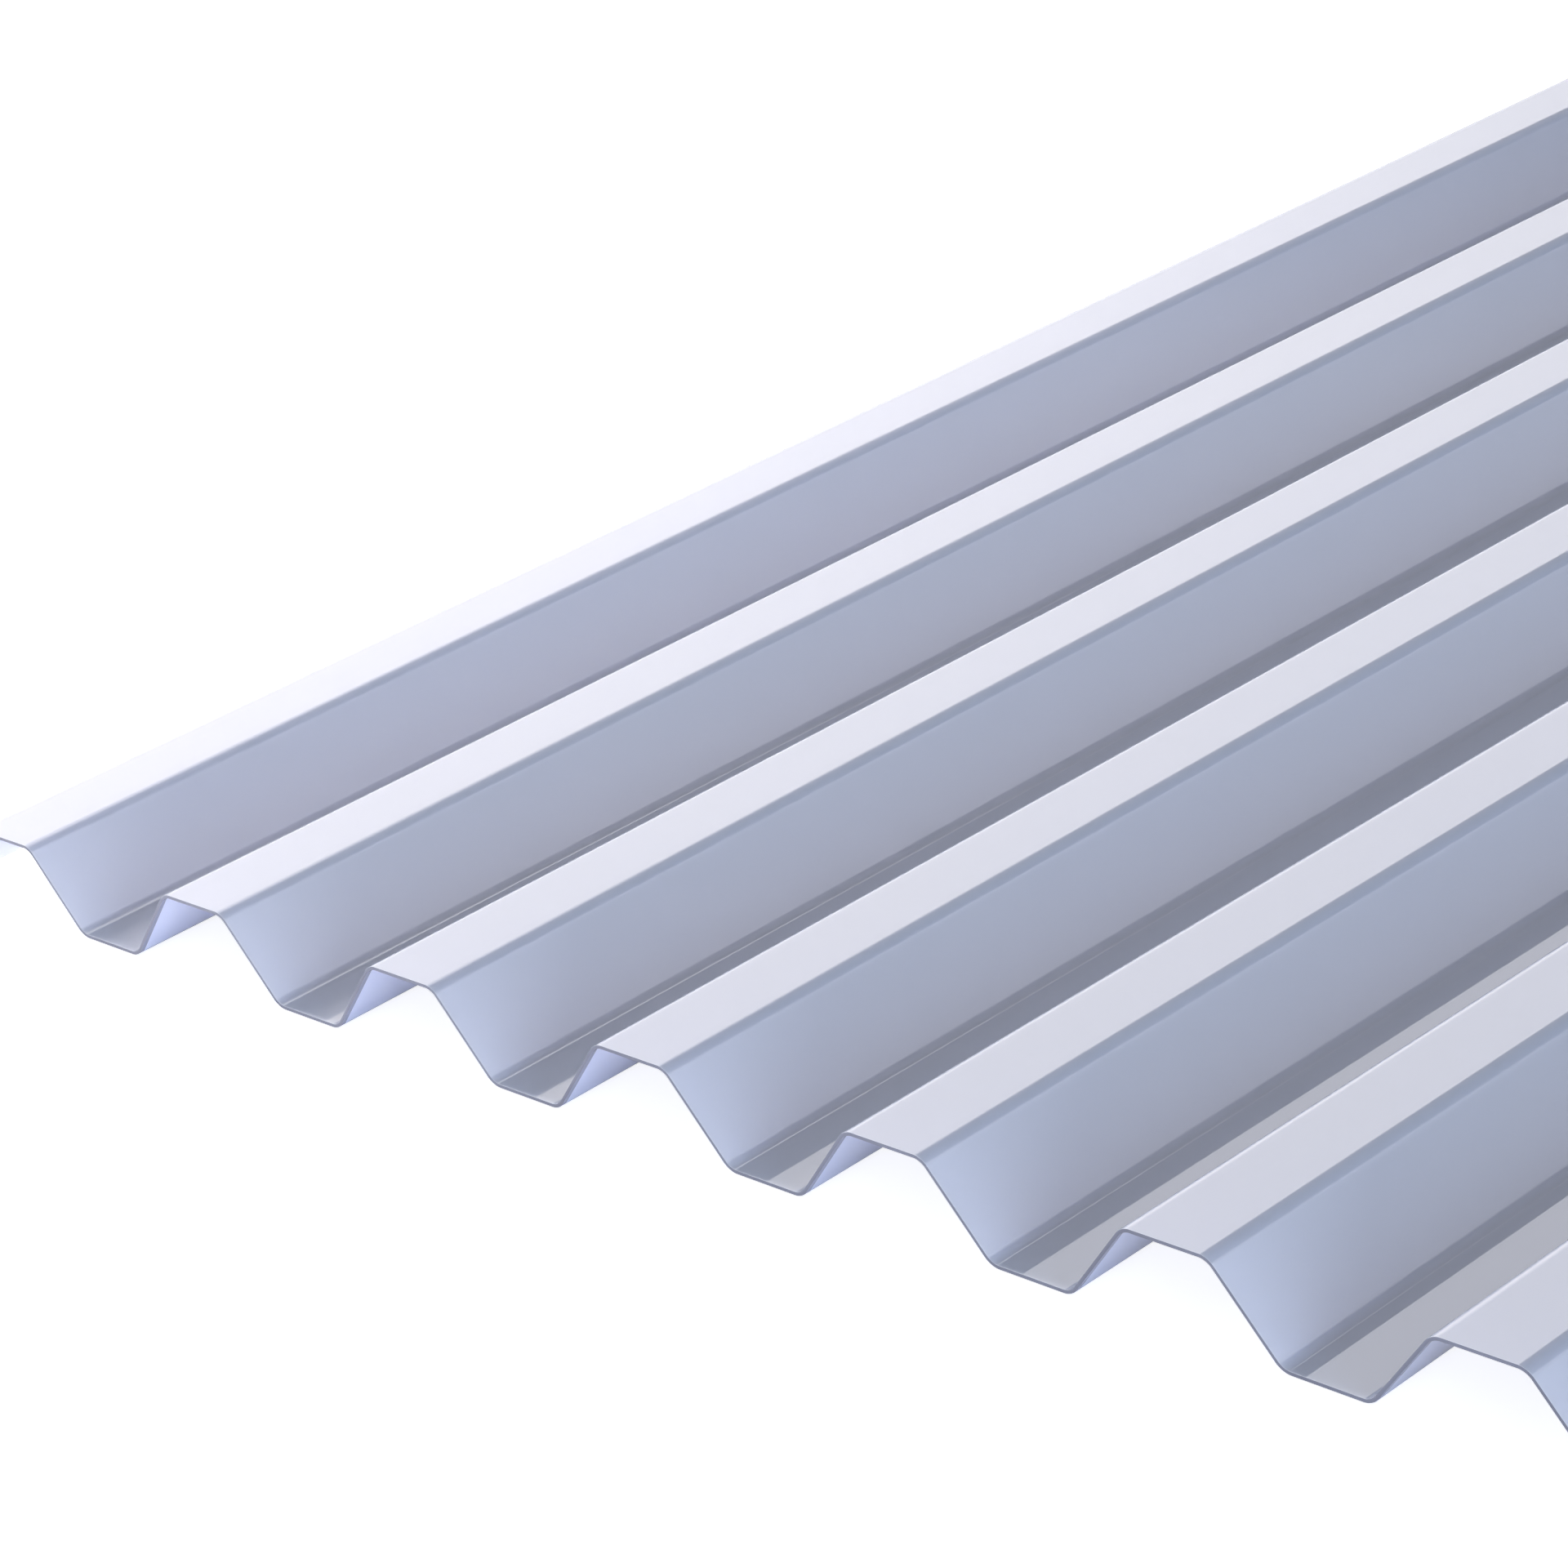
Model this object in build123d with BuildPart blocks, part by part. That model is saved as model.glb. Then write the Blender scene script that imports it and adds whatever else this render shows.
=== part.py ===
"""Trapezoidal roof sheet of rigid plastic, made as one extruded piece.

X runs across the sheet, Y along its crests and Z up. The origin is at the middle of the
underside, so the valleys lie on Z = 0 and the crests stand DEPTH higher.
"""
import os
from math import atan2, cos, sin, tan

from build123d import *

# Driving dimensions, in millimetres
LENGTH = 2000.0       # along the crests
CREST_COUNT = 16      # crests across the sheet
PITCH = 70.0          # from crest to crest
DEPTH = 18.0          # from valley level to crest level, middle of wall to middle of wall
CREST_WIDTH = 20.0    # crest flat between the sharp corners of the wall's middle
VALLEY_WIDTH = 20.0   # valley flat, measured in the same way
EDGE_RUN = 12.5       # sideways reach of each outer flank past its crest's sharp corner
WALL = 0.8            # thickness of the plastic
BEND_RADIUS = 3.5     # inside of every bend

# Sizes that follow from them
half_wall = WALL / 2
flank_run = (PITCH - CREST_WIDTH - VALLEY_WIDTH) / 2
flank_angle = atan2(DEPTH, flank_run)
first_crest = -PITCH * (CREST_COUNT - 1) / 2
crest_centres = [first_crest + PITCH * number for number in range(CREST_COUNT)]

# The sheet stands on the undersides of its valleys
valley_level = half_wall
crest_level = valley_level + DEPTH


def skin_corners(side):
    """Sharp corners of the top skin (side 1) or of the underside (side -1), edge to edge."""
    offset_out = side * half_wall
    corner_shift = offset_out * tan(flank_angle / 2)
    crest_half = CREST_WIDTH / 2 + corner_shift
    foot_half = CREST_WIDTH / 2 + flank_run + corner_shift
    crest_z = crest_level + offset_out
    valley_z = valley_level + offset_out

    # The outer flanks stop short of the valley level and are cut square to their slope
    edge_reach = EDGE_RUN - half_wall * sin(flank_angle)
    edge_half = CREST_WIDTH / 2 + edge_reach + offset_out * sin(flank_angle)
    edge_z = crest_level - edge_reach * tan(flank_angle) + offset_out * cos(flank_angle)

    corners = []
    for centre in crest_centres:
        corners += [
            (centre - foot_half, valley_z),
            (centre - crest_half, crest_z),
            (centre + crest_half, crest_z),
            (centre + foot_half, valley_z),
        ]
    corners[0] = (crest_centres[0] - edge_half, edge_z)
    corners[-1] = (crest_centres[-1] + edge_half, edge_z)
    return corners


def skin_radii(side):
    """Bend radius at each corner of a skin: the inside radius, or a wall more on the outside."""
    crest_radius = BEND_RADIUS + half_wall * (1 + side)
    valley_radius = BEND_RADIUS + half_wall * (1 - side)
    one_crest = [valley_radius, crest_radius, crest_radius, valley_radius]
    return (one_crest * CREST_COUNT)[1:-1]


# Roof sheet: the corrugated section, drawn as its two skins and two cut edges, run out to length
with BuildPart() as roof_sheet:
    with BuildSketch(Plane.XZ):
        with BuildLine():
            top = FilletPolyline(*skin_corners(1), radius=skin_radii(1))
            underside = FilletPolyline(*skin_corners(-1), radius=skin_radii(-1))
            Line(top @ 0, underside @ 0)
            Line(top @ 1, underside @ 1)
        make_face()
    extrude(amount=LENGTH / 2, both=True)

roof_sheet.part.label = "roof_sheet"

os.makedirs("parts", exist_ok=True)
export_step(roof_sheet.part, "parts/roof_sheet.step")
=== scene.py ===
"""Looks of a trapezoidal roof sheet: pale translucent plastic with cut edges, on a plain white stage."""
from math import atan2, radians, sin, tan

import bmesh
import bpy
from bpy.props import FloatProperty, FloatVectorProperty, IntProperty, PointerProperty
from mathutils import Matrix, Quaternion, Vector


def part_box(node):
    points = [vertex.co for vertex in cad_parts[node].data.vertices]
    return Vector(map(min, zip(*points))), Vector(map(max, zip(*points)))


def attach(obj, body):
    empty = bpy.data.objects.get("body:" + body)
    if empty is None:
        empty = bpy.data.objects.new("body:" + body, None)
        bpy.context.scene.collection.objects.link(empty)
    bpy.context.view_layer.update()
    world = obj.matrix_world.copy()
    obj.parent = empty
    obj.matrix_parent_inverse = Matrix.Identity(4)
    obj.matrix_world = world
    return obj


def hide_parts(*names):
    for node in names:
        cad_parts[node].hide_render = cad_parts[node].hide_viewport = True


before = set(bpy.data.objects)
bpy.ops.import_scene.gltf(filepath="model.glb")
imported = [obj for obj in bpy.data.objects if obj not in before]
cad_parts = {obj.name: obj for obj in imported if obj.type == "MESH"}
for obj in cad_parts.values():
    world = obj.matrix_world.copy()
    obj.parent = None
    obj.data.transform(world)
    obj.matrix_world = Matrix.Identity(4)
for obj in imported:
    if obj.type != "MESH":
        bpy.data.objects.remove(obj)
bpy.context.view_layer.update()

bl_info = {
    "name": "Trapezoidal Roof Sheet",
    "version": (1, 0, 0),
    "blender": (4, 5, 0),
    "location": "3D View > Sidebar > Roof Sheet",
    "description": "Models a trapezoidal plastic roof sheet and a plain white stage for it",
    "category": "Object",
}

NODE = "roof_sheet"
BODY = "root"

sheet_low, sheet_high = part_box(NODE)
sheet_size = sheet_high - sheet_low

# Materials of the finished piece, and the slot of each
MATERIALS = ("clear_plastic", "clear_plastic_underside", "sawn_rim")
TOP_SLOT = 0
UNDERSIDE_SLOT = 1
RIM_SLOT = 2

# Ends of an edge this near to a place count as lying on it, in metres
NEAR = 1e-5

# Folds sharper than the first angle get a worn rim, and folds sharper than the second stay sharp in shading
RIM_ANGLE = radians(60)
SMOOTH_ANGLE = radians(40)

# The die's lines run along the sheet, so their pattern is drawn out along Y
DIE_STRETCH = (1.0, 0.004, 1.0)

# Range of the noise that the die lines' gloss follows, and of the noise that the rims' pale spots follow
LINE_NOISE = (0.3, 0.7)
SPOT_NOISE = (0.3, 0.9)

# Strength of the bump that draws the die lines, and of the bump that draws the saw marks
LINE_BUMP = 0.3
SAW_BUMP = 0.4

# Width of a full-frame sensor, in millimetres
SENSOR_WIDTH = 36.0


class SheetSizes(bpy.types.PropertyGroup):
    """Section of the sheet, in the same frame and at the same size as its solid"""

    length: FloatProperty(
        name="Length", description="Along the crests", default=sheet_size.y, unit="LENGTH")
    width: FloatProperty(
        name="Width", description="Across the crests, over both edges", default=sheet_size.x, unit="LENGTH")
    height: FloatProperty(
        name="Height", description="From valley underside to crest top", default=sheet_size.z,
        unit="LENGTH")
    pitch: FloatProperty(
        name="Pitch", description="From crest to crest", default=0.070, unit="LENGTH")
    crest_count: IntProperty(
        name="Crests", description="Crests across the sheet", default=16, min=2)
    crest_width: FloatProperty(
        name="Crest Width", description="Crest flat between its sharp corners", default=0.020,
        unit="LENGTH")
    valley_width: FloatProperty(
        name="Valley Width", description="Valley flat between its sharp corners", default=0.020,
        unit="LENGTH")
    wall: FloatProperty(
        name="Wall", description="Thickness of the plastic", default=0.0008, unit="LENGTH", precision=5)
    bend_radius: FloatProperty(
        name="Bend Radius", description="Inside of every bend", default=0.0035, unit="LENGTH", precision=5)
    bend_steps: IntProperty(
        name="Bend Steps", description="Facets around each bend", default=8, min=2)
    length_steps: IntProperty(
        name="Length Steps", description="Rows of faces along the sheet", default=50, min=1)
    rim_round: FloatProperty(
        name="Rim Round", description="Worn rounding of the sawn rims", default=0.00012, unit="LENGTH",
        precision=5)


class SheetFinish(bpy.types.PropertyGroup):
    """Colours and gloss of the plastic"""

    tint: FloatVectorProperty(
        name="Tint", description="Colour of the plastic", subtype="COLOR", size=3,
        default=(0.83, 0.83, 0.97))
    tint_pale: FloatVectorProperty(
        name="Pale Tint", description="Colour where the plastic is a little milkier", subtype="COLOR",
        size=3, default=(0.85, 0.85, 0.975))
    # Painted shade: the underside is coloured darker in a band beside each cut end
    end_shade_tint: FloatVectorProperty(
        name="Painted End Shade", description="Colour of the underside beside a cut end", subtype="COLOR", size=3,
        default=(0.36, 0.36, 0.44))
    end_band: FloatProperty(
        name="End Band", description="Width of the dark band beside a cut end", default=0.0011,
        unit="LENGTH", precision=5)
    rim_tint: FloatVectorProperty(
        name="Rim Tint", description="Colour of the sawn rims", subtype="COLOR", size=3,
        default=(0.30, 0.293, 0.35))
    # Painted light: the underside is the same plastic as the top, given the bluer colour of the light that
    # comes through it
    under_painted_light: FloatVectorProperty(
        name="Underside Painted Light", description="Colour of the light that comes through", subtype="COLOR",
        size=3, default=(0.66, 0.69, 0.99))
    under_painted_light_pale: FloatVectorProperty(
        name="Pale Underside Painted Light", description="That colour where the plastic is a little milkier",
        subtype="COLOR", size=3, default=(0.69, 0.72, 0.99))
    top_glow: FloatProperty(
        name="Top Glow", description="How far light spreads inside the plastic under the top",
        default=0.001, unit="LENGTH", precision=5)
    under_glow: FloatProperty(
        name="Underside Glow", description="How far light spreads inside the plastic over the underside",
        default=0.0022, unit="LENGTH", precision=5)
    gloss_index: FloatProperty(
        name="Gloss Index", description="Refractive index of the skin, raised for its two mirroring faces",
        default=1.9)
    plain_index: FloatProperty(
        name="Plain Index", description="Refractive index of the underside and of the rims", default=1.5)
    gloss_low: FloatProperty(
        name="Smoothest", description="Roughness between the die lines", default=0.02, subtype="FACTOR")
    gloss_high: FloatProperty(
        name="Roughest", description="Roughness on the die lines", default=0.06, subtype="FACTOR")
    coat_roughness: FloatProperty(
        name="Coat Roughness", description="Roughness of the weather coat", default=0.02, subtype="FACTOR")
    rim_roughness: FloatProperty(
        name="Rim Roughness", description="Roughness of the sawn rims", default=0.4, subtype="FACTOR")
    skin_lines: FloatProperty(
        name="Skin Lines", description="Die lines per metre on the skin", default=260.0)
    skin_clouds: FloatProperty(
        name="Skin Clouds", description="Milky clouds per metre on the skin", default=5.0)
    rim_lines: FloatProperty(
        name="Rim Lines", description="Saw marks per metre on the rims", default=2500.0)
    rim_clouds: FloatProperty(
        name="Rim Clouds", description="Pale spots per metre on the rims", default=40.0)
    spot_share: FloatProperty(
        name="Spot Share", description="Most of the sheet's tint that a pale spot takes", default=0.25,
        subtype="FACTOR")
    line_depth: FloatProperty(
        name="Line Depth", description="Depth of the die lines", default=0.00002, unit="LENGTH",
        precision=5)
    saw_depth: FloatProperty(
        name="Saw Depth", description="Depth of the saw marks", default=0.00003, unit="LENGTH", precision=5)


class StageSettings(bpy.types.PropertyGroup):
    """Camera, light and floor"""

    camera_place: FloatVectorProperty(
        name="Camera", description="Place of the camera", subtype="XYZ", size=3, unit="LENGTH",
        default=(0.36569, -1.53723, 0.44581))
    camera_aim: FloatVectorProperty(
        name="Aim", description="Point in the middle of the picture", subtype="XYZ", size=3, unit="LENGTH",
        default=(-0.39701, -0.87852, 0.0094))
    camera_roll: FloatProperty(
        name="Roll", description="Turn of the camera about its line of sight", default=radians(-8.984),
        unit="ROTATION")
    lens: FloatProperty(
        name="Lens", description="Focal length on a full-frame sensor, in millimetres", default=113.46)
    floor_reach: FloatProperty(
        name="Floor", description="Side of the floor", default=60.0, unit="LENGTH")
    floor_gap: FloatProperty(
        name="Floor Gap", description="Room between the floor and the sheet", default=0.0002, unit="LENGTH",
        precision=5)
    floor_colour: FloatVectorProperty(
        name="Floor Colour", description="Colour of the floor", subtype="COLOR", size=3,
        default=(0.80, 0.80, 0.80))
    floor_glow: FloatProperty(
        name="Floor Glow", description="White that the floor adds for the camera",
        default=0.86, subtype="FACTOR")
    floor_mirrored: FloatProperty(
        name="Floor Mirrored", description="White that the floor adds in reflections",
        default=0.3, subtype="FACTOR")
    sky_colour: FloatVectorProperty(
        name="Sky", description="Colour of the light from all round", subtype="COLOR", size=3,
        default=(0.78, 0.85, 1.0))
    sky_low: FloatProperty(
        name="Sky at the Side", description="Level of the light from low all round", default=0.3)
    sky_high: FloatProperty(
        name="Sky Overhead", description="Level of the light from straight above", default=0.39)
    dim_way: FloatVectorProperty(
        name="Dim Way", description="Direction of the dim ceiling that reflections show",
        subtype="DIRECTION", size=3, default=(-0.05, 0.77, 0.635))
    dim_start: FloatProperty(
        name="Dim Start", description="Nearness to that direction where the dimming starts", default=0.875)
    dim_full: FloatProperty(
        name="Dim Full", description="Nearness to that direction where the dimming is full", default=0.915)
    dim_level: FloatProperty(
        name="Dim Level", description="Level of that ceiling", default=0.12)
    right_start: FloatProperty(
        name="Right Start", description="Sideways share of a direction where the right starts to dim",
        default=-0.2)
    right_full: FloatProperty(
        name="Right Full", description="Sideways share of a direction where it is dimmed in full",
        default=0.45)
    right_level: FloatProperty(
        name="Right Level", description="Level that reflections show at the right", default=0.54)
    mirror_colour: FloatVectorProperty(
        name="Mirrored White", description="Colour that reflections show low all round", subtype="COLOR",
        size=3, default=(0.955, 0.95, 1.0))
    key_place: FloatVectorProperty(
        name="Key Lamp", description="Place of the main lamp", subtype="XYZ", size=3, unit="LENGTH",
        default=(-1.2, -0.98, 0.34))
    key_aim: FloatVectorProperty(
        name="Key Aim", description="Point that the main lamp faces", subtype="XYZ", size=3, unit="LENGTH",
        default=(-0.30, -0.85, 0.0))
    key_colour: FloatVectorProperty(
        name="Key Colour", description="Colour of the main lamp", subtype="COLOR", size=3,
        default=(1.0, 0.965, 0.99))
    key_size: FloatVectorProperty(
        name="Key Size", description="Width and height of the main lamp", size=2, unit="LENGTH",
        default=(0.15, 0.4))
    key_power: FloatProperty(
        name="Key Power", description="Power of the main lamp", default=11.2, unit="POWER")
    fill_place: FloatVectorProperty(
        name="Fill Lamp", description="Place of the cool lamp", subtype="XYZ", size=3, unit="LENGTH",
        default=(2.6, -1.5, 0.85))
    fill_aim: FloatVectorProperty(
        name="Fill Aim", description="Point that the cool lamp faces", subtype="XYZ", size=3, unit="LENGTH",
        default=(-0.20, -0.70, 0.0))
    fill_colour: FloatVectorProperty(
        name="Fill Colour", description="Colour of the cool lamp", subtype="COLOR", size=3,
        default=(0.42, 0.66, 1.0))
    fill_size: FloatVectorProperty(
        name="Fill Size", description="Width and height of the cool lamp", size=2, unit="LENGTH",
        default=(1.4, 1.4))
    fill_power: FloatProperty(
        name="Fill Power", description="Power of the cool lamp", default=20.0, unit="POWER")
    low_place: FloatVectorProperty(
        name="Low Lamp", description="Place of the lamp that shines into the open ends", subtype="XYZ",
        size=3, unit="LENGTH", default=(-4.5, -2.87, 0.12))
    low_aim: FloatVectorProperty(
        name="Low Aim", description="Point that the low lamp faces", subtype="XYZ", size=3, unit="LENGTH",
        default=(-0.25, -1.0, 0.01))
    low_colour: FloatVectorProperty(
        name="Low Colour", description="Colour of the low lamp", subtype="COLOR", size=3,
        default=(0.72, 0.82, 1.0))
    low_size: FloatVectorProperty(
        name="Low Size", description="Width and height of the low lamp", size=2, unit="LENGTH",
        default=(3.2, 0.15))
    low_power: FloatProperty(
        name="Low Power", description="Power of the low lamp", default=100.0, unit="POWER")
    side_place: FloatVectorProperty(
        name="Side Lamp", description="Place of the low lamp at the right", subtype="XYZ", size=3,
        unit="LENGTH", default=(4.0, -2.87, 0.12))
    side_power: FloatProperty(
        name="Side Power", description="Power of the low lamp at the right", default=58.0, unit="POWER")


def select_edges(piece, wanted):
    """Selects, in edit mode, the edges that pass a test on their two ends, and no others."""
    bpy.ops.mesh.select_mode(type="EDGE")
    bpy.ops.mesh.select_all(action="DESELECT")
    shape = bmesh.from_edit_mesh(piece.data)
    for edge in shape.edges:
        edge.select_set(wanted(*(end.co for end in edge.verts)))
    bmesh.update_edit_mesh(piece.data)


def extrude_edges(step):
    """Draws the selected edges out into new faces."""
    bpy.ops.mesh.extrude_edges_move(TRANSFORM_OT_translate={"value": step})


def apply_modifier(piece, kind, **settings):
    """Adds a modifier to the active piece, sets it and applies it."""
    bpy.ops.object.modifier_add(type=kind)
    modifier = piece.modifiers[-1]
    for name, value in settings.items():
        setattr(modifier, name, value)
    bpy.ops.object.modifier_apply(modifier=modifier.name)


def model_sheet(sizes):
    """The sheet's mesh: drawn along the middle of its wall, bent, thickened and rounded at the rims."""
    depth = sizes.height - sizes.wall
    flank_run = (sizes.pitch - sizes.crest_width - sizes.valley_width) / 2
    flank_angle = atan2(depth, flank_run)
    first_crest = -sizes.pitch * (sizes.crest_count - 1) / 2
    last_crest = -first_crest
    crest_level = sheet_low.z + sizes.height - sizes.wall / 2

    # Outer flanks stop at the edge of the sheet, cut square to their slope
    edge_run = sizes.width / 2 - last_crest - sizes.crest_width / 2 - sizes.wall / 2 * sin(flank_angle)
    edge_drop = edge_run * tan(flank_angle)

    bpy.ops.object.select_all(action="DESELECT")
    bpy.ops.mesh.primitive_plane_add(size=1, location=(first_crest, 0, crest_level))
    sheet = bpy.context.object
    sheet.name = sheet.data.name = "translucent_sheet"
    sheet.scale = (sizes.crest_width, sizes.length, 1)
    bpy.ops.object.transform_apply(location=True, rotation=True, scale=True)

    def along_at(place):
        """Test for the edges that run along the sheet at one place across it."""
        return lambda a, b: abs(a.x - place) < NEAR and abs(b.x - place) < NEAR

    # One crest, its falling flank, a valley and the next rising flank
    bpy.ops.object.mode_set(mode="EDIT")
    select_edges(sheet, along_at(first_crest + sizes.crest_width / 2))
    extrude_edges((flank_run, 0, -depth))
    extrude_edges((sizes.valley_width, 0, 0))
    extrude_edges((flank_run, 0, depth))
    bpy.ops.object.mode_set(mode="OBJECT")

    # The same again at each pitch
    apply_modifier(
        sheet, "ARRAY", count=sizes.crest_count - 1, use_relative_offset=False, use_constant_offset=True,
        constant_offset_displace=(sizes.pitch, 0, 0), use_merge_vertices=True, merge_threshold=NEAR)

    # The last crest and both outer flanks
    bpy.ops.object.mode_set(mode="EDIT")
    select_edges(sheet, along_at(last_crest - sizes.crest_width / 2))
    extrude_edges((sizes.crest_width, 0, 0))
    extrude_edges((edge_run, 0, -edge_drop))
    select_edges(sheet, along_at(first_crest - sizes.crest_width / 2))
    extrude_edges((-edge_run, 0, -edge_drop))

    # Round bends: each sharp fold between two faces becomes an arc of the wall's middle
    outer_edge = last_crest + sizes.crest_width / 2 + edge_run
    select_edges(sheet, lambda a, b: abs(a.x - b.x) < NEAR and abs(a.x) < outer_edge - NEAR)
    middle_radius = sizes.bend_radius + sizes.wall / 2
    bpy.ops.mesh.bevel(
        offset_type="OFFSET", offset=middle_radius * tan(flank_angle / 2), segments=sizes.bend_steps,
        profile=0.5, affect="EDGES")

    # Rows of faces along the length
    select_edges(sheet, lambda a, b: abs(a.y - b.y) > sizes.length / 2)
    bpy.ops.mesh.subdivide(number_cuts=sizes.length_steps - 1)
    bpy.ops.mesh.select_all(action="SELECT")
    bpy.ops.mesh.normals_make_consistent(inside=False)
    bpy.ops.object.mode_set(mode="OBJECT")

    # Wall, with the sawn rims in a finish of their own
    for name in MATERIALS:
        sheet.data.materials.append(bpy.data.materials.new(name))
    apply_modifier(
        sheet, "SOLIDIFY", thickness=sizes.wall, offset=0, use_even_offset=True, use_rim=True,
        material_offset=UNDERSIDE_SLOT, material_offset_rim=RIM_SLOT)
    apply_modifier(
        sheet, "BEVEL", width=sizes.rim_round, segments=2, limit_method="ANGLE", angle_limit=RIM_ANGLE)

    bpy.ops.object.shade_smooth_by_angle(angle=SMOOTH_ANGLE)
    apply_modifier(sheet, "WEIGHTED_NORMAL", keep_sharp=True)
    return sheet


def add_node(tree, kind, **settings):
    """Adds a node and sets its own fields, and its inputs where a setting's name starts with in_."""
    node = tree.nodes.new(kind)
    for name, value in settings.items():
        if name.startswith("in_"):
            node.inputs[name[3:].replace("_", " ")].default_value = value
        else:
            setattr(node, name, value)
    return node


def add_math(tree, operation, *values):
    """Adds a math node and sets or links its inputs. Returns its result."""
    node = add_node(tree, "ShaderNodeMath", operation=operation)
    for socket, value in zip(node.inputs, values):
        if isinstance(value, bpy.types.NodeSocket):
            tree.links.new(value, socket)
        else:
            socket.default_value = value
    return node.outputs["Value"]


def die_line_group():
    """Node group: fine lines that the die drew along the sheet, and slow clouds of milkiness."""
    group = bpy.data.node_groups.new("die_lines", "ShaderNodeTree")
    sockets = group.interface
    sockets.new_socket("Place", in_out="INPUT", socket_type="NodeSocketVector")
    sockets.new_socket("Lines per Metre", in_out="INPUT", socket_type="NodeSocketFloat")
    sockets.new_socket("Clouds per Metre", in_out="INPUT", socket_type="NodeSocketFloat")
    sockets.new_socket("Lines", in_out="OUTPUT", socket_type="NodeSocketFloat")
    sockets.new_socket("Clouds", in_out="OUTPUT", socket_type="NodeSocketFloat")

    given = add_node(group, "NodeGroupInput")
    result = add_node(group, "NodeGroupOutput")
    stretch = add_node(group, "ShaderNodeVectorMath", operation="MULTIPLY")
    stretch.inputs[1].default_value = DIE_STRETCH
    lines = add_node(group, "ShaderNodeTexNoise", in_Detail=3.0, in_Roughness=0.6)
    clouds = add_node(group, "ShaderNodeTexNoise", in_Detail=2.0, in_Roughness=0.5)
    link = group.links.new
    link(given.outputs["Place"], stretch.inputs[0])
    link(stretch.outputs["Vector"], lines.inputs["Vector"])
    link(given.outputs["Lines per Metre"], lines.inputs["Scale"])
    link(given.outputs["Place"], clouds.inputs["Vector"])
    link(given.outputs["Clouds per Metre"], clouds.inputs["Scale"])
    link(lines.outputs["Fac"], result.inputs["Lines"])
    link(clouds.outputs["Fac"], result.inputs["Clouds"])
    return group


def end_shade_group(sizes):
    """Node group: a mask of the bands beside the two cut ends, where the underside gets painted shade."""
    group = bpy.data.node_groups.new("end_shade_bands", "ShaderNodeTree")
    sockets = group.interface
    sockets.new_socket("Place", in_out="INPUT", socket_type="NodeSocketVector")
    sockets.new_socket("Width", in_out="INPUT", socket_type="NodeSocketFloat")
    sockets.new_socket("Bands", in_out="OUTPUT", socket_type="NodeSocketFloat")

    given = add_node(group, "NodeGroupInput")
    result = add_node(group, "NodeGroupOutput")
    parts = add_node(group, "ShaderNodeSeparateXYZ")
    group.links.new(given.outputs["Place"], parts.inputs["Vector"])
    from_middle = add_math(group, "ABSOLUTE", parts.outputs["Y"])
    from_end = add_math(group, "SUBTRACT", sizes.length / 2, from_middle)
    band = add_math(group, "LESS_THAN", from_end, given.outputs["Width"])
    group.links.new(band, result.inputs["Bands"])
    return group


def start_material(material):
    """Empties a material's nodes and gives it a Principled shader. Returns the tree and the shader."""
    material.use_nodes = True
    tree = material.node_tree
    tree.nodes.clear()
    shader = add_node(tree, "ShaderNodeBsdfPrincipled")
    output = add_node(tree, "ShaderNodeOutputMaterial")
    tree.links.new(shader.outputs["BSDF"], output.inputs["Surface"])
    return tree, shader


def place_group(tree, group, lines, clouds):
    """Puts the die line group in a material, on the piece's own coordinates."""
    place = add_node(tree, "ShaderNodeTexCoord")
    pattern = add_node(tree, "ShaderNodeGroup", node_tree=group)
    pattern.inputs["Lines per Metre"].default_value = lines
    pattern.inputs["Clouds per Metre"].default_value = clouds
    tree.links.new(place.outputs["Object"], pattern.inputs["Place"])
    return pattern


def finish_skin(material, finish, group, tint, tint_pale, glow):
    """Translucent plastic with faint die lines. Returns the material's tree, shader and colour."""
    tree, shader = start_material(material)
    link = tree.links.new
    pattern = place_group(tree, group, finish.skin_lines, finish.skin_clouds)

    colour = add_node(tree, "ShaderNodeMix", data_type="RGBA")
    colour.inputs["A"].default_value = (*tint, 1)
    colour.inputs["B"].default_value = (*tint_pale, 1)
    gloss = add_node(
        tree, "ShaderNodeMapRange", in_From_Min=LINE_NOISE[0], in_From_Max=LINE_NOISE[1],
        in_To_Min=finish.gloss_low, in_To_Max=finish.gloss_high)
    relief = add_node(tree, "ShaderNodeBump", in_Strength=LINE_BUMP, in_Distance=finish.line_depth)

    link(pattern.outputs["Clouds"], colour.inputs["Factor"])
    link(colour.outputs["Result"], shader.inputs["Base Color"])
    link(pattern.outputs["Lines"], gloss.inputs["Value"])
    link(gloss.outputs["Result"], shader.inputs["Roughness"])
    link(pattern.outputs["Lines"], relief.inputs["Height"])
    link(relief.outputs["Normal"], shader.inputs["Normal"])

    shader.subsurface_method = "RANDOM_WALK"
    shader.inputs["Subsurface Weight"].default_value = 1.0
    shader.inputs["Subsurface Radius"].default_value = (1, 1, 1)
    shader.inputs["Subsurface Scale"].default_value = glow
    return tree, shader, colour.outputs["Result"]


def finish_top(material, finish, group):
    """Top of the sheet: plastic under a glossy weather coat."""
    _, shader, _ = finish_skin(material, finish, group, finish.tint, finish.tint_pale, finish.top_glow)
    shader.inputs["IOR"].default_value = finish.gloss_index
    shader.inputs["Coat IOR"].default_value = finish.gloss_index
    shader.inputs["Coat Weight"].default_value = 1.0
    shader.inputs["Coat Roughness"].default_value = finish.coat_roughness


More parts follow.
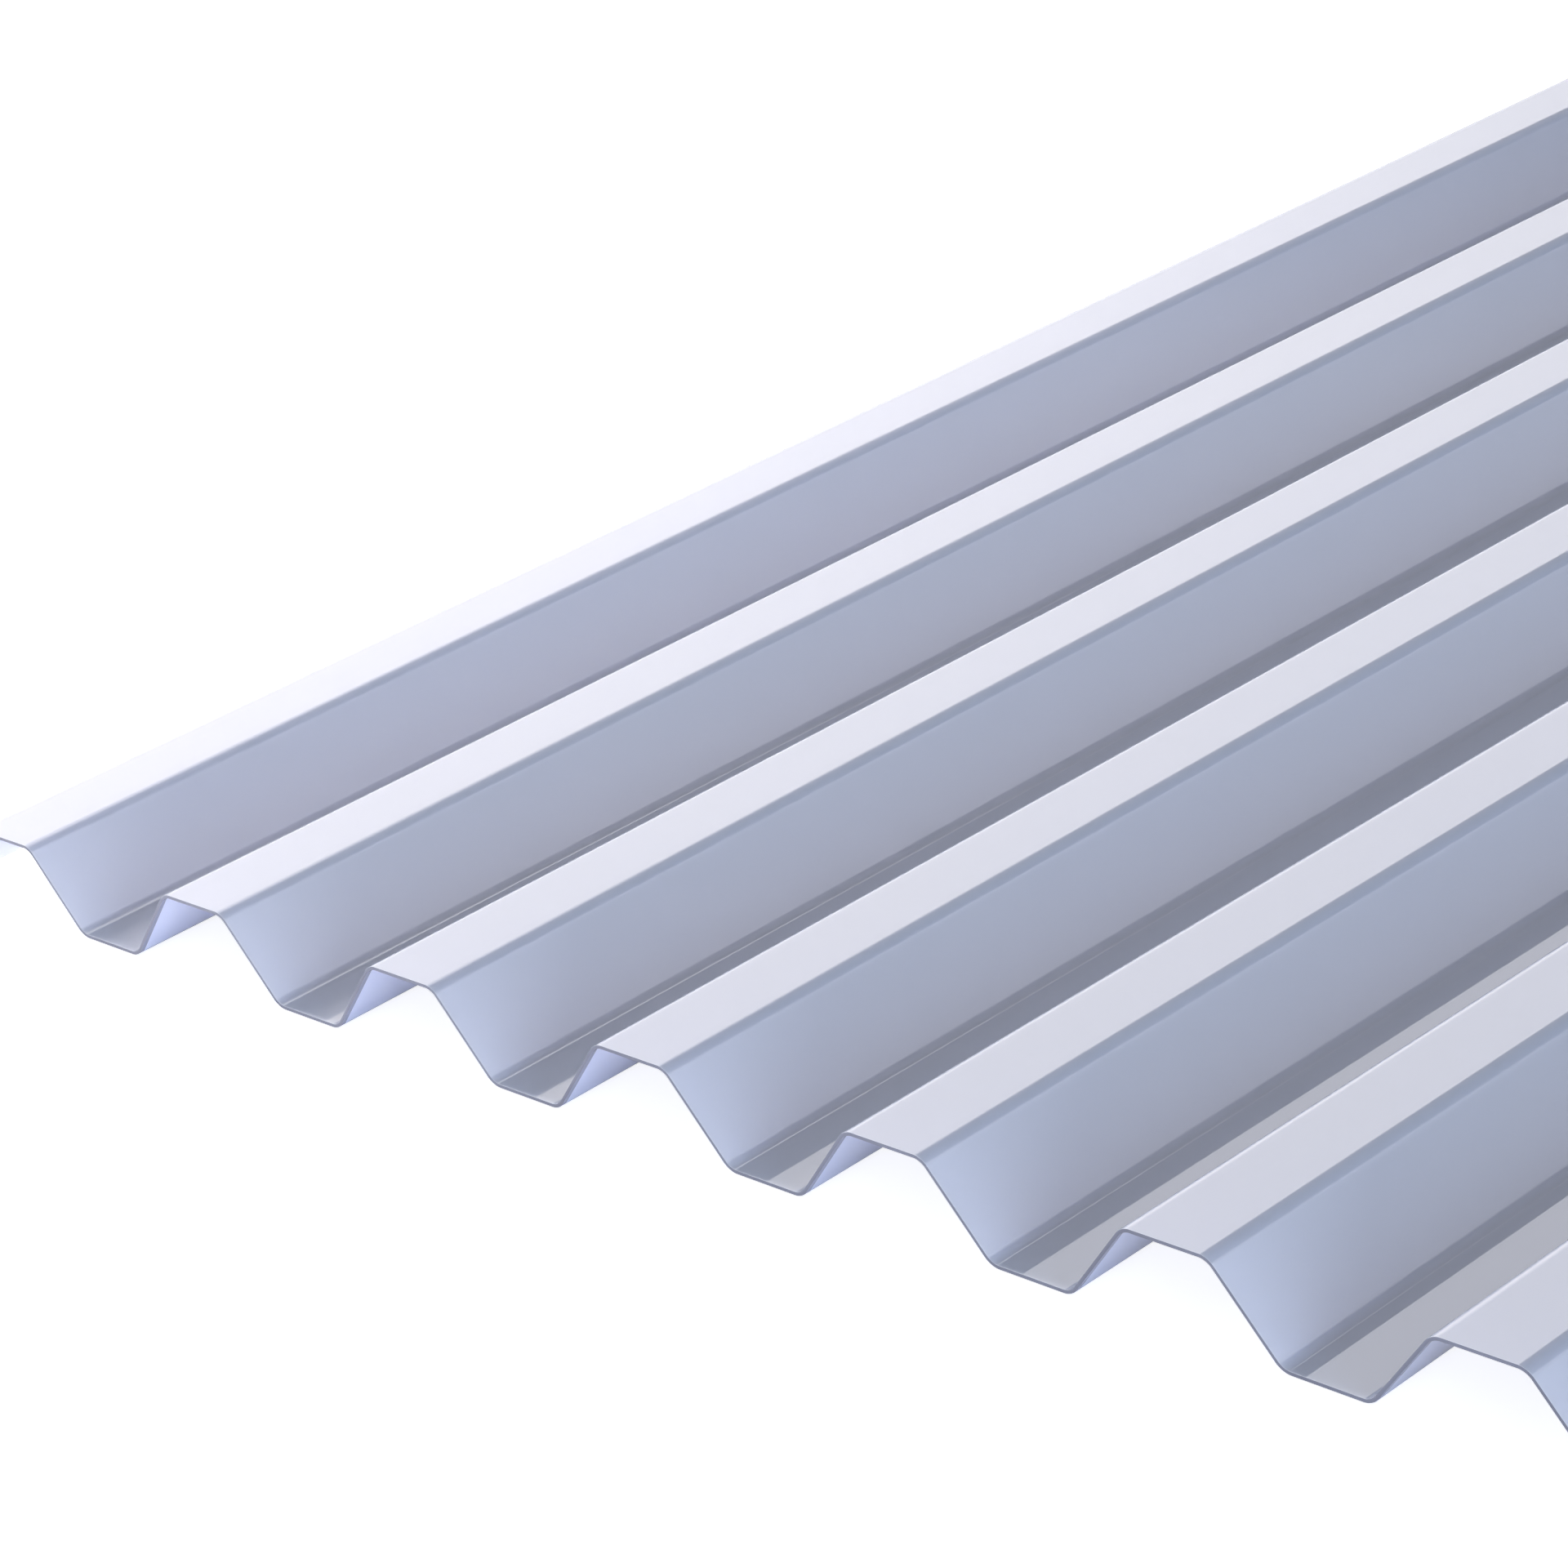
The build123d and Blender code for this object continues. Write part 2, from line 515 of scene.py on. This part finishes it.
def finish_underside(material, finish, group, end_shade_bands):
    """Underside: uncoated, painted in the colour of the light that comes through, with painted shade beside
    the cut ends.
    """
    tree, shader, colour = finish_skin(
        material, finish, group, finish.under_painted_light, finish.under_painted_light_pale, finish.under_glow)
    link = tree.links.new
    place = add_node(tree, "ShaderNodeTexCoord")
    bands = add_node(tree, "ShaderNodeGroup", node_tree=end_shade_bands)
    bands.inputs["Width"].default_value = finish.end_band
    # Painted shade: within the band beside each cut end the underside takes the darker end colour
    banded = add_node(tree, "ShaderNodeMix", data_type="RGBA")
    banded.inputs["B"].default_value = (*finish.end_shade_tint, 1)
    link(place.outputs["Object"], bands.inputs["Place"])
    link(bands.outputs["Bands"], banded.inputs["Factor"])
    link(colour, banded.inputs["A"])
    link(banded.outputs["Result"], shader.inputs["Base Color"])
    shader.inputs["IOR"].default_value = finish.plain_index


def finish_rim(material, finish, group):
    """Sawn rims: a darker grey blue with fine saw marks."""
    tree, shader = start_material(material)
    link = tree.links.new
    pattern = place_group(tree, group, finish.rim_lines, finish.rim_clouds)

    colour = add_node(tree, "ShaderNodeMix", data_type="RGBA")
    colour.inputs["A"].default_value = (*finish.rim_tint, 1)
    colour.inputs["B"].default_value = (*finish.tint, 1)
    share = add_node(
        tree, "ShaderNodeMapRange", in_From_Min=SPOT_NOISE[0], in_From_Max=SPOT_NOISE[1],
        in_To_Max=finish.spot_share)
    relief = add_node(tree, "ShaderNodeBump", in_Strength=SAW_BUMP, in_Distance=finish.saw_depth)

    link(pattern.outputs["Clouds"], share.inputs["Value"])
    link(share.outputs["Result"], colour.inputs["Factor"])
    link(colour.outputs["Result"], shader.inputs["Base Color"])
    link(pattern.outputs["Lines"], relief.inputs["Height"])
    link(relief.outputs["Normal"], shader.inputs["Normal"])
    shader.inputs["Roughness"].default_value = finish.rim_roughness
    shader.inputs["IOR"].default_value = finish.plain_index


def sight_masks(tree):
    """Two masks: 1 where the camera looks straight or through, and 1 where it looks by way of gloss."""
    path = add_node(tree, "ShaderNodeLightPath")
    straight = add_math(tree, "MAXIMUM", path.outputs["Is Camera Ray"], path.outputs["Is Transmission Ray"])

    # Gloss counts only before the light has met a matt surface, whose depth is then 1
    early = add_math(tree, "LESS_THAN", path.outputs["Diffuse Depth"], 0.5)
    mirrored = add_math(tree, "MULTIPLY", path.outputs["Is Glossy Ray"], early)
    return straight, mirrored


def build_floor(stage):
    """A pale floor that looks white to the camera and keeps the sheet's shadow."""
    bpy.ops.object.select_all(action="DESELECT")
    bpy.ops.mesh.primitive_plane_add(size=stage.floor_reach, location=(0, 0, sheet_low.z - stage.floor_gap))
    floor = bpy.context.object
    floor.name = "floor"

    material = bpy.data.materials.new("floor_white")
    material.use_nodes = True
    tree = material.node_tree
    tree.nodes.clear()
    paint = add_node(tree, "ShaderNodeBsdfDiffuse", in_Color=(*stage.floor_colour, 1))
    glow = add_node(tree, "ShaderNodeEmission")
    both = add_node(tree, "ShaderNodeAddShader")
    output = add_node(tree, "ShaderNodeOutputMaterial")
    straight, mirrored = sight_masks(tree)
    seen_in_gloss = add_math(tree, "MULTIPLY", mirrored, stage.floor_mirrored)
    level = add_math(tree, "MULTIPLY_ADD", straight, stage.floor_glow, seen_in_gloss)
    tree.links.new(level, glow.inputs["Strength"])
    tree.links.new(paint.outputs[0], both.inputs[0])
    tree.links.new(glow.outputs[0], both.inputs[1])
    tree.links.new(both.outputs[0], output.inputs["Surface"])
    floor.data.materials.append(material)


def build_world(stage):
    """White all round for the camera and in reflections, and a soft bluish light on everything else."""
    world = bpy.data.worlds.new("studio")
    bpy.context.scene.world = world
    world.use_nodes = True
    tree = world.node_tree
    tree.nodes.clear()
    direction = add_node(tree, "ShaderNodeTexCoord")
    shares = add_node(tree, "ShaderNodeSeparateXYZ")
    tree.links.new(direction.outputs["Generated"], shares.inputs["Vector"])

    # Light on the sheet: a little brighter from above than from the sides
    level = add_node(tree, "ShaderNodeMapRange", in_To_Min=stage.sky_low, in_To_Max=stage.sky_high)
    light = add_node(tree, "ShaderNodeBackground", in_Color=(*stage.sky_colour, 1))
    tree.links.new(shares.outputs["Z"], level.inputs["Value"])
    tree.links.new(level.outputs["Result"], light.inputs["Strength"])

    # What the camera sees: white, and in reflections a dim ceiling and a dimmer right
    nearness = add_node(tree, "ShaderNodeVectorMath", operation="DOT_PRODUCT")
    nearness.inputs[1].default_value = stage.dim_way
    ceiling = add_node(
        tree, "ShaderNodeMapRange", in_From_Min=stage.dim_start, in_From_Max=stage.dim_full,
        in_To_Min=1.0, in_To_Max=stage.dim_level)
    tree.links.new(direction.outputs["Generated"], nearness.inputs[0])
    tree.links.new(nearness.outputs["Value"], ceiling.inputs["Value"])
    wall = add_node(
        tree, "ShaderNodeMapRange", in_From_Min=stage.right_start, in_From_Max=stage.right_full,
        in_To_Min=1.0, in_To_Max=stage.right_level)
    tree.links.new(shares.outputs["X"], wall.inputs["Value"])
    around = add_math(tree, "MULTIPLY", ceiling.outputs["Result"], wall.outputs["Result"])
    straight, mirrored = sight_masks(tree)
    tone = add_node(tree, "ShaderNodeMix", data_type="RGBA")
    tone.inputs["A"].default_value = (1, 1, 1, 1)
    tone.inputs["B"].default_value = (*stage.mirror_colour, 1)
    white = add_node(tree, "ShaderNodeBackground")
    tree.links.new(mirrored, tone.inputs["Factor"])
    tree.links.new(tone.outputs["Result"], white.inputs["Color"])
    tree.links.new(add_math(tree, "MAXIMUM", straight, around), white.inputs["Strength"])

    choice = add_node(tree, "ShaderNodeMixShader")
    output = add_node(tree, "ShaderNodeOutputWorld")
    tree.links.new(add_math(tree, "MAXIMUM", straight, mirrored), choice.inputs["Fac"])
    tree.links.new(light.outputs[0], choice.inputs[1])
    tree.links.new(white.outputs[0], choice.inputs[2])
    tree.links.new(choice.outputs[0], output.inputs["Surface"])


def build_lamp(name, place, aim, colour, size, power):
    """A soft lamp that faces a point and stays out of reflections."""
    bpy.ops.object.light_add(type="AREA", location=place)
    lamp = bpy.context.object
    lamp.name = name
    lamp.visible_glossy = False
    lamp.rotation_mode = "QUATERNION"
    lamp.rotation_quaternion = (Vector(aim) - Vector(place)).to_track_quat("-Z", "Y")
    lamp.data.shape = "RECTANGLE"
    lamp.data.color = colour
    lamp.data.size, lamp.data.size_y = size
    lamp.data.energy = power


def build_camera(stage):
    """Camera at the near right, looking down along the crests."""
    place = Vector(stage.camera_place)
    bpy.ops.object.camera_add(location=place)
    camera = bpy.context.object
    camera.name = "camera"
    level_view = (Vector(stage.camera_aim) - place).to_track_quat("-Z", "Y")
    camera.rotation_mode = "QUATERNION"
    camera.rotation_quaternion = level_view @ Quaternion((0, 0, 1), stage.camera_roll)
    camera.data.sensor_width = SENSOR_WIDTH
    camera.data.lens = stage.lens
    bpy.context.scene.camera = camera


class ROOFSHEET_OT_sheet(bpy.types.Operator):
    """Models the translucent roof sheet over its solid"""

    bl_idname = "roofsheet.sheet"
    bl_label = "Roof Sheet"

    def execute(self, context):
        scene = context.scene
        sheet = model_sheet(scene.sheet_sizes)
        group = die_line_group()
        finish = scene.sheet_finish
        materials = sheet.data.materials
        finish_top(materials[TOP_SLOT], finish, group)
        finish_underside(materials[UNDERSIDE_SLOT], finish, group, end_shade_group(scene.sheet_sizes))
        finish_rim(materials[RIM_SLOT], finish, group)
        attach(sheet, BODY)
        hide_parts(NODE)
        return {"FINISHED"}


class ROOFSHEET_OT_stage(bpy.types.Operator):
    """Sets the floor, the light and the camera"""

    bl_idname = "roofsheet.stage"
    bl_label = "Stage"

    def execute(self, context):
        stage = context.scene.sheet_stage
        build_floor(stage)
        build_world(stage)
        build_lamp(
            "key_lamp", stage.key_place, stage.key_aim, stage.key_colour, stage.key_size, stage.key_power)
        build_lamp(
            "fill_lamp", stage.fill_place, stage.fill_aim, stage.fill_colour, stage.fill_size,
            stage.fill_power)
        build_lamp(
            "low_lamp", stage.low_place, stage.low_aim, stage.low_colour, stage.low_size, stage.low_power)
        build_lamp(
            "side_lamp", stage.side_place, stage.low_aim, stage.low_colour, stage.low_size,
            stage.side_power)
        build_camera(stage)
        context.scene.view_settings.view_transform = "Standard"
        return {"FINISHED"}


class ROOFSHEET_PT_panel(bpy.types.Panel):
    """Sizes, finish and stage of the roof sheet, with the operators that build them"""

    bl_idname = "ROOFSHEET_PT_panel"
    bl_label = "Roof Sheet"
    bl_space_type = "VIEW_3D"
    bl_region_type = "UI"
    bl_category = "Roof Sheet"

    def draw(self, context):
        scene = context.scene
        for settings, operator in (
            (scene.sheet_sizes, None),
            (scene.sheet_finish, ROOFSHEET_OT_sheet.bl_idname),
            (scene.sheet_stage, ROOFSHEET_OT_stage.bl_idname),
        ):
            box = self.layout.box()
            for name in type(settings).__annotations__:
                box.prop(settings, name)
            if operator:
                box.operator(operator)


CLASSES = (
    SheetSizes, SheetFinish, StageSettings, ROOFSHEET_OT_sheet, ROOFSHEET_OT_stage, ROOFSHEET_PT_panel)


def register():
    for item in CLASSES:
        bpy.utils.register_class(item)
    bpy.types.Scene.sheet_sizes = PointerProperty(type=SheetSizes)
    bpy.types.Scene.sheet_finish = PointerProperty(type=SheetFinish)
    bpy.types.Scene.sheet_stage = PointerProperty(type=StageSettings)


def unregister():
    del bpy.types.Scene.sheet_stage
    del bpy.types.Scene.sheet_finish
    del bpy.types.Scene.sheet_sizes
    for item in reversed(CLASSES):
        bpy.utils.unregister_class(item)


def main():
    """Builds the sheet and the stage."""
    register()
    bpy.ops.roofsheet.sheet()
    bpy.ops.roofsheet.stage()


if __name__ == "__main__":
    main()
